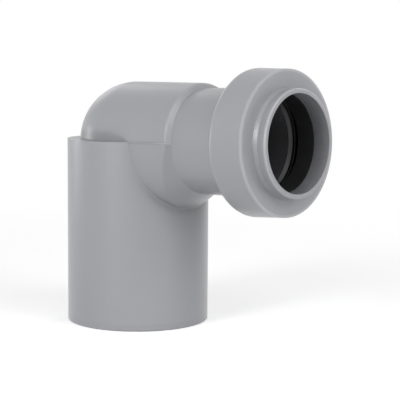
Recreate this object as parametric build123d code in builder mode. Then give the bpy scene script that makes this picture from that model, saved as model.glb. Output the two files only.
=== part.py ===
from build123d import *
from math import cos, radians, sin, tan
import os

os.makedirs("parts", exist_ok=True)

# Reducing drain elbow with a push-fit ring-seal socket. The leg stands on the
# origin with its axis on Z, and the socket leaves towards X. Lengths are in mm,
# and "along" means along the socket's axis, from where it crosses the leg's.

# the leg, a spigot for a 50 mm drain socket
leg_radius = 25.1
leg_wall = 2.5
ledge_height = 64.85
ledge_thickness = 2.3
ledge_rounding = 0.6
leg_end_rounding = 0.6
leg_bore_lead = 0.5

# the bend
bend_height = 64.36
socket_rise = 1.5
dome_radius = 20.55
dome_wall = 2.3

# the stub between the dome and the neck, with its deeper lower half
stub_taper = 1.5
stub_length = 31.55
stub_bevel = 1.05
chin_root_depth = 31.0
chin_depth = 23.5
chin_lean = 17.5
stub_rim_rounding = 0.8
chin_crease_rounding = 0.6
parting_line_width = 0.35
parting_line_height = 0.12

# the socket, for a 32 mm pipe
pipe_radius = 16.0
pipe_clearance = 0.15
pipe_stop_along = 33.4
pipe_stop_step = 0.95
pipe_bed_lead = 1.0
neck_radius = 18.0
mouth_along = 71.85
mouth_lead = 0.1

# the ring round the seal
ring_back_along = 53.65
ring_face_along = 67.3
ring_back_radius = 24.44
ring_face_radius = 23.9
ring_back_rounding = 2.2
ring_face_rounding = 0.45

# the lip at the mouth
lip_base_radius = 18.25
lip_base_length = 1.4
lip_radius = 17.7
lip_rim_rounding = 0.6

# the seal and its groove
guide_length = 6.2
groove_back_along = 55.85
groove_radius = 21.8
seal_clearance = 0.05
seal_body_radius = 19.6
seal_web_width = 2.7
seal_flange_width = 1.0
seal_root_radius = 16.3
seal_tip_radius = 15.1
seal_tip_along = 59.4
seal_lip_thickness = 1.3
seal_edge_rounding = 0.35

# sizes that follow from the ones above
socket_bore_radius = pipe_radius + pipe_clearance
passage_radius = socket_bore_radius - pipe_stop_step
leg_bore_radius = leg_radius - leg_wall
groove_front_along = mouth_along - guide_length
seal_flange_radius = socket_bore_radius + pipe_bed_lead + seal_clearance
seal_flange_end_along = groove_back_along + seal_clearance + seal_flange_width
neck_along = stub_length + stub_bevel
stub_start_along = dome_radius * sin(radians(stub_taper))
stub_start_radius = dome_radius * cos(radians(stub_taper))
stub_rim_radius = stub_start_radius - (stub_length - stub_start_along) * tan(radians(stub_taper))
chin_face_depth = chin_depth / cos(radians(chin_lean))

# the socket's axis, and the plane through it where the two mould halves part
bend = Vector(0, 0, bend_height)
outward = Vector(cos(radians(socket_rise)), 0, sin(radians(socket_rise)))
upward = Vector(-sin(radians(socket_rise)), 0, cos(radians(socket_rise)))
leaning = outward * cos(radians(chin_lean)) - upward * sin(radians(chin_lean))
socket_axis = Axis(bend, outward)
parting = Plane(origin=bend, x_dir=outward, z_dir=upward)
bend_face = Plane(origin=bend, x_dir=(0, 1, 0), z_dir=outward)
chin_start = Plane(origin=bend + outward * stub_start_along, x_dir=(0, 1, 0), z_dir=outward)
stub_rim = Plane(origin=bend + outward * stub_length, x_dir=(0, 1, 0), z_dir=outward)
chin_edge = Plane(origin=bend + outward * stub_length, x_dir=(0, 1, 0), z_dir=leaning)
chin_end = Plane(origin=bend + outward * neck_along, x_dir=(0, 1, 0), z_dir=outward)


def lies_in(edge, plane):
    return all(abs(plane.to_local_coords(edge @ place).Z) < 0.001 for place in (0, 0.3, 0.7, 1))


def lies_on_leg(edge):
    places = [edge @ place for place in (0, 0.3, 0.5, 0.7, 1)]
    return all(abs(Vector(p.X, p.Y, 0).length - leg_radius) < 0.01 for p in places)


# the leg's section and its foot, both starting from the side away from the socket
leg_side = Plane(origin=(0, 0, 0), x_dir=(-1, 0, 0), z_dir=(0, 1, 0))
leg_foot = Plane(origin=(0, 0, 0), x_dir=(-1, 0, 0), z_dir=(0, 0, 1))

# the leg's core, with the half-round arm that hollows the dome and the stub
with BuildPart() as leg_core:
    with Locations(bend):
        Sphere(dome_radius - dome_wall)
    with BuildSketch(bend_face):
        Circle(dome_radius - dome_wall)
    extrude(amount=leg_radius)
    with BuildSketch(leg_foot):
        Circle(leg_bore_radius)
    extrude(amount=ledge_height + dome_radius, mode=Mode.INTERSECT)
    with BuildSketch(leg_side):
        with BuildLine():
            Polyline(
                (0, 0),
                (leg_bore_radius + leg_bore_lead, 0),
                (leg_bore_radius, leg_bore_lead),
                (leg_bore_radius, ledge_height - ledge_thickness),
                (0, ledge_height - ledge_thickness),
                close=True,
            )
        make_face()
    revolve(axis=Axis.Z)

# the socket's core: passage, pipe bed, seal groove and guide wall
with BuildPart() as socket_core:
    with BuildSketch(parting):
        with BuildLine():
            Polyline(
                (0, 0),
                (0, passage_radius),
                (pipe_stop_along, passage_radius),
                (pipe_stop_along, socket_bore_radius),
                (groove_back_along - pipe_bed_lead, socket_bore_radius),
                (groove_back_along, socket_bore_radius + pipe_bed_lead),
                (groove_back_along, groove_radius),
                (groove_front_along, groove_radius),
                (groove_front_along, socket_bore_radius),
                (mouth_along - mouth_lead, socket_bore_radius),
                (mouth_along, socket_bore_radius + mouth_lead),
                (mouth_along, 0),
                close=True,
            )
        make_face()
    revolve(axis=socket_axis)

with BuildPart() as elbow_body:
    # the leg, closed by the flat ledge
    with BuildSketch(leg_side) as leg_section:
        with Locations((leg_radius / 2, ledge_height / 2)):
            Rectangle(leg_radius, ledge_height)
        outer_corners = leg_section.vertices().group_by(Axis.X)[-1].sort_by(Axis.Y)
        fillet(outer_corners[0], leg_end_rounding)
        fillet(outer_corners[1], ledge_rounding)
    revolve(axis=Axis.Z)

    # the dome over the ledge
    with Locations(bend):
        Sphere(dome_radius)

    # the stub's upper half, a cone that leaves the dome without a crease
    with BuildSketch(parting):
        with BuildLine():
            Polyline(
                (0, 0),
                (stub_start_along, stub_start_radius),
                (stub_length, stub_rim_radius),
                (neck_along, neck_radius),
                (neck_along, 0),
                close=True,
            )
        make_face()
    revolve(axis=socket_axis, revolution_arc=180)

    # the chin: half ellipses below the parting that grow shallower outwards, up
    # to the leaning edge, and then close in to the neck's half circle
    for section, side, depth in (
        (chin_start, stub_start_radius, chin_root_depth),
        (chin_edge, stub_rim_radius, chin_face_depth),
        (chin_end, neck_radius, neck_radius),
    ):
        with BuildSketch(section):
            with BuildLine():
                EllipticalCenterArc((0, 0), side, depth, start_angle=180, arc_size=180)
                Line((side, 0), (-side, 0))
            make_face()
    loft(ruled=True)

    # the neck, the ring and the lip
    with BuildSketch(parting) as neck_section:
        with Locations((ring_face_along / 2, neck_radius / 2)):
            Rectangle(ring_face_along, neck_radius)
    revolve(axis=socket_axis)
    with BuildSketch(parting) as ring_section:
        with BuildLine():
            Polyline(
                (ring_back_along, 0),
                (ring_back_along, ring_back_radius),
                (ring_face_along, ring_face_radius),
                (ring_face_along, 0),
                close=True,
            )
        make_face()
        crests = ring_section.vertices().sort_by(Axis.Y)[-2:].sort_by(Axis.X)
        fillet(crests[0], ring_back_rounding)
        fillet(crests[1], ring_face_rounding)
    revolve(axis=socket_axis)
    with BuildSketch(parting) as lip_section:
        with BuildLine():
            Polyline(
                (ring_face_along, 0),
                (ring_face_along, lip_base_radius),
                (ring_face_along + lip_base_length, lip_radius),
                (mouth_along, lip_radius),
                (mouth_along, 0),
                close=True,
            )
        make_face()
        rim = lip_section.vertices().group_by(Axis.X)[-1].sort_by(Axis.Y)[-1]
        fillet(rim, lip_rim_rounding)
    revolve(axis=socket_axis)

    # the rounded edge that runs over the stub's rim and on along the chin
    rim_edges = [edge for edge in elbow_body.edges() if lies_in(edge, stub_rim) or lies_in(edge, chin_edge)]
    fillet(rim_edges, stub_rim_rounding)

    # the soft crease where the chin runs into the leg
    crease_edges = [
        edge for edge in elbow_body.edges()
        if lies_on_leg(edge) and (edge @ 0.5).X > 0 and bend_height > (edge @ 0.5).Z > leg_radius
    ]
    fillet(crease_edges, chin_crease_rounding)

    # the fine raised line where the mould halves met, along both sides of the stub
    with BuildSketch(parting):
        with BuildLine():
            Polyline(
                (0, dome_radius),
                (stub_start_along, stub_start_radius + parting_line_height),
                (stub_length, stub_rim_radius + parting_line_height),
                (neck_along, neck_radius + parting_line_height),
                (neck_along, 0),
                (0, 0),
                close=True,
            )
        make_face()
        mirror(about=Plane.XZ)
    extrude(amount=parting_line_width / 2, both=True)

    # the hollow
    add(leg_core.part, mode=Mode.SUBTRACT)
    add(socket_core.part, mode=Mode.SUBTRACT)

with BuildPart() as lip_seal:
    with BuildSketch(parting) as seal_section:
        with BuildLine():
            Polyline(
                (groove_back_along + seal_clearance, seal_flange_radius),
                (groove_back_along + seal_clearance, groove_radius - seal_clearance),
                (groove_front_along - seal_clearance, groove_radius - seal_clearance),
                (groove_front_along - seal_clearance, seal_root_radius),
                (seal_tip_along, seal_tip_radius),
                (seal_tip_along, seal_tip_radius + seal_lip_thickness),
                (groove_front_along - seal_web_width, seal_root_radius + seal_lip_thickness),
                (groove_front_along - seal_web_width, seal_body_radius),
                (seal_flange_end_along, seal_body_radius),
                (seal_flange_end_along, seal_flange_radius),
                close=True,
            )
        make_face()
        fillet(seal_section.vertices(), seal_edge_rounding)
    revolve(axis=socket_axis)

elbow_body.part.label = "elbow_body"
lip_seal.part.label = "lip_seal"
export_step(elbow_body.part, "parts/elbow_body.step")
export_step(lip_seal.part, "parts/lip_seal.step")
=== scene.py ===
import math

import bmesh
import bpy
from mathutils import Matrix, Vector

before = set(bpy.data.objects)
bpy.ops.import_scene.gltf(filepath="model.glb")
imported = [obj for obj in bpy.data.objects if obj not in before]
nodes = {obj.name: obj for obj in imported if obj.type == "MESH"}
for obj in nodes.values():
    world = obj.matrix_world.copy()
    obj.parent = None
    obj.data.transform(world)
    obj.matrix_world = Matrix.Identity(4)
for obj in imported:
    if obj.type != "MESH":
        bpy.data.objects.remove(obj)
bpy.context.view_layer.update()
scene = bpy.context.scene

# the photograph's camera: azimuth, elevation and roll in degrees, the rest in metres
shot = {
    "azimuth": 41.64,
    "elevation": 6.29,
    "roll": 0.41,
    "distance": 0.4279,
    "focalPixels": 1250.8,
    "imageWidth": 400,
    "sensor": 36,
    "target": (0.02956, 0, 0.04497),
    "clipStart": 0.01,
    "clipEnd": 100,
}


def addCamera(shot):
    azimuth, elevation, roll = (math.radians(shot[k]) for k in ("azimuth", "elevation", "roll"))
    back = Vector((
        math.sin(azimuth) * math.cos(elevation),
        -math.cos(azimuth) * math.cos(elevation),
        math.sin(elevation),
    ))
    data = bpy.data.cameras.new("camera")
    data.sensor_width = shot["sensor"]
    data.lens = shot["focalPixels"] / shot["imageWidth"] * shot["sensor"]
    data.clip_start = shot["clipStart"]
    data.clip_end = shot["clipEnd"]
    camera = bpy.data.objects.new("camera", data)
    scene.collection.objects.link(camera)
    camera.location = Vector(shot["target"]) + back * shot["distance"]
    camera.rotation_mode = "QUATERNION"
    right = (-back).cross(Vector((0, 0, 1))).normalized()
    up = right.cross(-back)
    turnedRight = right * math.cos(roll) + up * math.sin(roll)
    turnedUp = up * math.cos(roll) - right * math.sin(roll)
    axes = (turnedRight, turnedUp, back)
    rotation = Matrix([[axis[row] for axis in axes] for row in range(3)])
    camera.rotation_quaternion = rotation.to_quaternion()
    scene.camera = camera


# each input takes a link where it is given another node's output, or else the value itself
def setInputs(tree, node, inputs):
    for name, given in inputs.items():
        if isinstance(given, bpy.types.NodeSocket):
            tree.links.new(given, node.inputs[name])
        else:
            node.inputs[name].default_value = given


def addNode(tree, kind, inputs, **settings):
    node = tree.nodes.new(kind)
    for name, value in settings.items():
        setattr(node, name, value)
    setInputs(tree, node, inputs)
    return node


def addMath(tree, operation, first, second):
    return addNode(tree, "ShaderNodeMath", {0: first, 1: second}, operation=operation).outputs[0]


def addRamp(tree, value, start, end):
    inputs = {"Value": value, "From Min": start, "From Max": end}
    return addNode(tree, "ShaderNodeMapRange", inputs, interpolation_type="SMOOTHSTEP").outputs["Result"]


def objectPlace(tree):
    return addNode(tree, "ShaderNodeTexCoord", {}).outputs["Object"]


def newMaterial(name):
    material = bpy.data.materials.new(name)
    material.use_nodes = True
    return material, material.node_tree


def dress(piece, material):
    piece.data.materials.clear()
    piece.data.materials.append(material)


# a node group whose inputs are given with their defaults, and whose outputs are all values
def newGroup(name, inputs, outputs):
    group = bpy.data.node_groups.new(name, "ShaderNodeTree")
    for label, default in inputs.items():
        kind = "NodeSocketVector" if isinstance(default, tuple) else "NodeSocketFloat"
        group.interface.new_socket(label, in_out="INPUT", socket_type=kind).default_value = default
    for label in outputs:
        group.interface.new_socket(label, in_out="OUTPUT", socket_type="NodeSocketFloat")
    start = addNode(group, "NodeGroupInput", {}).outputs
    return group, start, addNode(group, "NodeGroupOutput", {})


# a place's distance along an axis from its point, and its distance from the axis
def axisDistances(group, point, axis):
    offset = addNode(group, "ShaderNodeVectorMath", {0: objectPlace(group), 1: point}, operation="SUBTRACT")
    along = addNode(group, "ShaderNodeVectorMath", {0: offset.outputs[0], 1: axis}, operation="DOT_PRODUCT")
    foot = addNode(group, "ShaderNodeVectorMath", {0: offset.outputs[0], 1: axis}, operation="PROJECT")
    ends = {0: offset.outputs[0], 1: foot.outputs[0]}
    away = addNode(group, "ShaderNodeVectorMath", ends, operation="DISTANCE")
    return along.outputs["Value"], away.outputs["Value"]


# per noise: the group's inputs for its size and strength, and its own settings
grainNoises = {
    "fine": {"scale": "Fine Scale", "swing": "Speckle", "settings": {"Detail": 3.0, "Roughness": 0.6}},
    "cloud": {"scale": "Cloud Scale", "swing": "Mottle", "settings": {"Detail": 2.0, "Roughness": 0.5}},
}


# fine moulded grain: a height for bump, and a shade for colour that swings round 1
def buildGrain():
    group, start, end = newGroup(
        "moulded_grain",
        {"Fine Scale": 2600.0, "Cloud Scale": 40.0, "Speckle": 0.1, "Mottle": 0.03},
        ("Height", "Shade", "Patches"),
    )
    place = objectPlace(group)
    noise = {}
    shade = 1.0
    for name, part in grainNoises.items():
        inputs = {"Vector": place, "Scale": start[part["scale"]], **part["settings"]}
        noise[name] = addNode(group, "ShaderNodeTexNoise", inputs).outputs["Fac"]
        centred = addMath(group, "SUBTRACT", noise[name], 0.5)
        shade = addMath(group, "ADD", addMath(group, "MULTIPLY", centred, start[part["swing"]]), shade)
    setInputs(group, end, {"Height": noise["fine"], "Shade": shade, "Patches": noise["cloud"]})
    return group


# per mask: whether it looks into the piece, how open a place is where the mask starts and
# where it is full, and the share of it that is left before its fade along X
cornerMasks = {
    "Crease": {"inside": False, "open": (0.97, 0.8), "least": 0.35},
    "Depth": {"inside": False, "open": (0.8, 0.66), "least": 0.0},
    "Edge": {"inside": True, "open": (0.985, 0.8), "least": 0.0},
}
occlusionSamples = 16


# how closed in a place is: Crease for inner corners, Depth for the hollow round the axis, Edge
# for outer corners outside it; the materials paint shade by Crease and Depth and highlights by Edge
def buildCorners():
    group, start, end = newGroup(
        "corner_masks",
        {
            "Crease Reach": 0.003,
            "Crease Start": 0.032,
            "Crease End": 0.029,
            "Depth Reach": 0.03,
            "Depth Start": -0.005,
            "Depth End": 0.005,
            "Edge Reach": 0.001,
            "Edge Start": 0.025,
            "Edge End": 0.03,
            "Point": (0, 0, 0),
            "Axis": (1, 0, 0),
            "Hollow Radius": 0.0174,
        },
        cornerMasks,
    )
    split = addNode(group, "ShaderNodeSeparateXYZ", {0: objectPlace(group)})
    away = axisDistances(group, start["Point"], start["Axis"])[1]
    zones = {
        "Depth": addMath(group, "LESS_THAN", away, start["Hollow Radius"]),
        "Edge": addMath(group, "GREATER_THAN", away, start["Hollow Radius"]),
    }
    for name, mask in cornerMasks.items():
        fade = addNode(group, "ShaderNodeMapRange", {
            "Value": split.outputs["X"],
            "From Min": start[name + " Start"],
            "From Max": start[name + " End"],
            "To Min": mask["least"],
        })
        share = fade.outputs["Result"]
        if name in zones:
            share = addMath(group, "MULTIPLY", share, zones[name])
        occlusion = addNode(
            group, "ShaderNodeAmbientOcclusion", {"Distance": start[name + " Reach"]},
            samples=occlusionSamples, inside=mask["inside"], only_local=True,
        )
        closed = addRamp(group, occlusion.outputs["AO"], *mask["open"])
        setInputs(group, end, {name: addMath(group, "MULTIPLY", closed, share)})
    return group


# a soft-edged band round an axis: the places between two distances along it, two
# distances from it and two heights
def buildBand():
    group, start, end = newGroup(
        "axis_band",
        {
            "Point": (0, 0, 0),
            "Axis": (1, 0, 0),
            "From": 0.0,
            "To": 0.001,
            "Nearest": 0.0,
            "Farthest": 1.0,
            "Lowest": 0.0,
            "Highest": 1.0,
            "Softness": 0.0002,
            "Fade": 0.001,
        },
        ("Band",),
    )
    along, away = axisDistances(group, start["Point"], start["Axis"])
    height = addNode(group, "ShaderNodeSeparateXYZ", {0: objectPlace(group)}).outputs["Z"]
    band = 1.0
    for upper, lower, softness in (
        (along, start["From"], "Softness"),
        (start["To"], along, "Softness"),
        (away, start["Nearest"], "Softness"),
        (start["Farthest"], away, "Softness"),
        (height, start["Lowest"], "Softness"),
        (start["Highest"], height, "Fade"),
    ):
        past = addMath(group, "SUBTRACT", upper, lower)
        steps = addMath(group, "DIVIDE", past, start[softness])
        band = addMath(group, "MULTIPLY", addRamp(group, steps, 0.0, 1.0), band)
    setInputs(group, end, {"Band": band})
    return group


grain = buildGrain()
corners = buildCorners()
band = buildBand()

# a colour Mix node's sockets share their names with its other types, so they go by number
mixColours = {"first": 6, "second": 7, "result": 2}


# paints shade or a highlight over a colour: mixes it towards the tint as far as the mask and amount say
def paintShadeOrHighlight(tree, colour, mask, tint, amount):
    inputs = {
        "Factor": addMath(tree, "MULTIPLY", mask, amount),
        mixColours["first"]: colour,
        mixColours["second"]: (*tint, 1),
    }
    return addNode(tree, "ShaderNodeMix", inputs, data_type="RGBA").outputs[mixColours["result"]]


# a moulded surface: its colour with shade and highlights painted on by the masks and bands, patches of
# roughness, fine grain
def mouldedMaterial(name, look):
    material, tree = newMaterial(name)
    grainNode = addNode(tree, "ShaderNodeGroup", look["grain"], node_tree=grain)
    cornersNode = addNode(tree, "ShaderNodeGroup", look["corners"], node_tree=corners)
    shaded = {0: look["colour"], "Scale": grainNode.outputs["Shade"]}
    colour = addNode(tree, "ShaderNodeVectorMath", shaded, operation="SCALE").outputs[0]
    for mask, tint, amount in look["paintedMasks"]:
        colour = paintShadeOrHighlight(tree, colour, cornersNode.outputs[mask], tint, amount)
    for limits, tint, amount in look["paintedBands"]:
        bandNode = addNode(tree, "ShaderNodeGroup", limits, node_tree=band)
        colour = paintShadeOrHighlight(tree, colour, bandNode.outputs["Band"], tint, amount)
    rough = addNode(tree, "ShaderNodeMapRange", {
        "Value": grainNode.outputs["Patches"],
        "To Min": look["roughness"] - look["roughnessSwing"],
        "To Max": look["roughness"] + look["roughnessSwing"],
    })
    bump = addNode(tree, "ShaderNodeBump", {
        "Strength": look["bump"],
        "Distance": look["bumpDistance"],
        "Height": grainNode.outputs["Height"],
    })
    setInputs(tree, tree.nodes["Principled BSDF"], {
        "Base Color": colour,
        "Roughness": rough.outputs["Result"],
        "Normal": bump.outputs["Normal"],
    })
    return material


socketAxis = {"Point": (0, 0, 0.06436), "Axis": (0.999657, 0, 0.026177)}
legAxis = {"Point": (0, 0, 0), "Axis": (0, 0, 1)}
stubBevel = {
    **socketAxis, "From": 0.0315, "To": 0.0328, "Softness": 0.0003, "Nearest": 0.0174, "Lowest": 0.0645,
}
sealBedLead = {**socketAxis, "From": 0.0546, "To": 0.0562, "Farthest": 0.0176}
ringBack = {**socketAxis, "From": 0.0541, "To": 0.0552, "Softness": 0.0003, "Nearest": 0.0174}
legEnd = {**legAxis, "From": -0.001, "To": 0.0026, "Nearest": 0.023, "Lowest": -0.001}
# the colour of the painted highlights on edges and bands
paintedHighlight = (0.62, 0.625, 0.65)
# the colour of the painted shade in the hollow and the seal's bed
paintedShade = (0.012, 0.012, 0.013)

# painted masks: a mask, the colour of the painted shade or highlight it brings, and how much of it; painted
# bands: where, and then the same
bodyLook = {
    "colour": (0.362, 0.367, 0.388),
    "roughness": 0.305,
    "roughnessSwing": 0.03,
    "bump": 0.25,
    "bumpDistance": 0.00002,
    "grain": {"Fine Scale": 2600.0, "Cloud Scale": 40.0, "Speckle": 0.12, "Mottle": 0.03},
    "corners": {"Crease Reach": 0.006, "Edge Reach": 0.0011, **socketAxis},
    "paintedMasks": (
        # painted shade: the inner corners darker, fully towards the leg and a third as much from the stub's
        # bevel on
        ("Crease", (0.13, 0.13, 0.14), 0.38),
        # painted highlight: the outer edges of the socket lighter
        ("Edge", paintedHighlight, 0.42),
        # painted shade: the hollow inside the socket darker
        ("Depth", paintedShade, 0.71),
    ),
    "paintedBands": (
        # painted highlight on the stub's bevel above its axis, with more of it lower down, fading out by 79
        # mm high
        (stubBevel, paintedHighlight, 0.2),
        ({**stubBevel, "Highest": 0.079, "Fade": 0.005}, paintedHighlight, 0.3),
        # painted shade: the chamfer leading into the seal's bed darker
        (sealBedLead, paintedShade, 0.8),
        # painted highlight: a light line along the ring's back edge
        (ringBack, paintedHighlight, 0.35),
        # painted shade: the foot of the leg a little darker
        (legEnd, (0.2, 0.2, 0.215), 0.1),
    ),
}
dress(nodes["elbow_body"], mouldedMaterial("body_plastic", bodyLook))

# the seal has edges inside the hollow too, so it keeps the group's own axis, far below it
sealLook = {
    "colour": (0.018, 0.018, 0.0195),
    "roughness": 0.38,
    "roughnessSwing": 0.08,
    "bump": 0.3,
    "bumpDistance": 0.00003,
    "grain": {"Fine Scale": 1800.0, "Cloud Scale": 160.0, "Speckle": 0.6, "Mottle": 0.5},
    "corners": {"Edge Reach": 0.0006},
    # painted highlight: the seal's outer edges a little lighter
    "paintedMasks": (("Edge", (0.03, 0.03, 0.033), 0.4),),
    "paintedBands": (),
}
dress(nodes["lip_seal"], mouldedMaterial("seal_rubber", sealLook))
print("materials done")

# the white stage: lit near the object, so that it takes the shadow, and plain white further out
stage = {
    "halfSize": 3.0,
    "colour": (0.85, 0.85, 0.85, 1),
    "roughness": 0.9,
    "white": (1, 1, 1, 1),
    "lift": 0.5,
    "fadeFrom": 0.1,
    "fadeTo": 0.4,
    "ambient": 0.07,
}


# the share of plain white: the camera's share, and all of it in reflections and through glass
def whiteShare(tree, path, cameraShare):
    bent = addMath(tree, "MAXIMUM", path["Is Glossy Ray"], path["Is Transmission Ray"])
    return addMath(tree, "MAXIMUM", cameraShare, bent)


def addFloor(stage):
    work = bmesh.new()
    bmesh.ops.create_grid(work, x_segments=1, y_segments=1, size=stage["halfSize"])
    mesh = bpy.data.meshes.new("floor")
    work.to_mesh(mesh)
    work.free()
    floor = bpy.data.objects.new("floor", mesh)
    scene.collection.objects.link(floor)
    material, tree = newMaterial("floor_white")
    lit = tree.nodes["Principled BSDF"]
    setInputs(tree, lit, {
        "Base Color": stage["colour"],
        "Roughness": stage["roughness"],
        "Specular IOR Level": 0.0,
    })
    path = addNode(tree, "ShaderNodeLightPath", {}).outputs
    lift = addNode(tree, "ShaderNodeEmission", {
        "Color": stage["white"],
        "Strength": addMath(tree, "MULTIPLY", path["Is Camera Ray"], stage["lift"]),
    })
    lifted = addNode(tree, "ShaderNodeAddShader", {0: lit.outputs[0], 1: lift.outputs[0]})
    length = addNode(tree, "ShaderNodeVectorMath", {0: objectPlace(tree)}, operation="LENGTH")
    farOut = addRamp(tree, length.outputs["Value"], stage["fadeFrom"], stage["fadeTo"])
    plain = addNode(tree, "ShaderNodeEmission", {"Color": stage["white"], "Strength": 1.0})
    share = whiteShare(tree, path, addMath(tree, "MULTIPLY", path["Is Camera Ray"], farOut))
    mixer = addNode(tree, "ShaderNodeMixShader", {"Fac": share, 1: lifted.outputs[0], 2: plain.outputs[0]})
    setInputs(tree, tree.nodes["Material Output"], {"Surface": mixer.outputs[0]})
    dress(floor, material)


def addWorld(stage):
    world = bpy.data.worlds.new("world")
    scene.world = world
    world.use_nodes = True
    tree = world.node_tree
    ambient = tree.nodes["Background"]
    setInputs(tree, ambient, {"Color": stage["white"], "Strength": stage["ambient"]})
    plain = addNode(tree, "ShaderNodeBackground", {"Color": stage["white"], "Strength": 1.0})
    path = addNode(tree, "ShaderNodeLightPath", {}).outputs
    share = whiteShare(tree, path, path["Is Camera Ray"])
    mixer = addNode(tree, "ShaderNodeMixShader", {"Fac": share, 1: ambient.outputs[0], 2: plain.outputs[0]})
    setInputs(tree, tree.nodes["World Output"], {"Surface": mixer.outputs[0]})


addFloor(stage)
addWorld(stage)

# square soft lamps round the object: bearing and height in degrees, size in metres, then watts
lamps = {
    "distance": 0.9,
    "aim": (0.02, 0, 0.05),
    "rows": (
        ("front", -84, 28, 0.36, 1.5),
        ("front_narrow", -88, 14, 0.2, 0.85),
        ("front_narrow_high", -88, 24, 0.2, 0.9),
        ("front_low", -84, 8, 0.36, 0.6),
        ("front_left", -108, 28, 0.36, 0.3),
        ("front_right_high", -45, 52, 0.36, 0.8),
        ("right", -12, 28, 0.36, 0.6),
        ("right_narrow", -4, 8, 0.2, 1.1),
        ("right_middle", 0, 18, 0.36, 0.4),
        ("right_back", 12, 28, 0.36, 1.1),
        ("right_high", 0, 52, 0.36, 0.5),
        ("left_low", -160, 0, 0.36, 1.3),
        ("back_right", 60, 28, 0.36, 0.3),
        ("back_right_low", 60, 8, 0.36, 0.15),
        ("back", 108, 28, 0.36, 0.9),
        ("back_low", 108, 8, 0.36, 0.8),
        ("back_left", 156, 28, 0.36, 0.4),
    ),
}


def addLamp(name, bearing, height, size, watts):
    bearing, height = math.radians(bearing), math.radians(height)
    towards = Vector((
        math.cos(bearing) * math.cos(height),
        math.sin(bearing) * math.cos(height),
        math.sin(height),
    ))
    light = bpy.data.lights.new("lamp_" + name, "AREA")
    light.shape = "SQUARE"
    light.size = size
    light.energy = watts
    lamp = bpy.data.objects.new("lamp_" + name, light)
    scene.collection.objects.link(lamp)
    lamp.location = Vector(lamps["aim"]) + towards * lamps["distance"]
    lamp.rotation_mode = "QUATERNION"
    lamp.rotation_quaternion = towards.to_track_quat("Z", "Y")


for row in lamps["rows"]:
    addLamp(*row)
print("stage and lamps done")

addCamera(shot)
scene.view_settings.view_transform = "Standard"
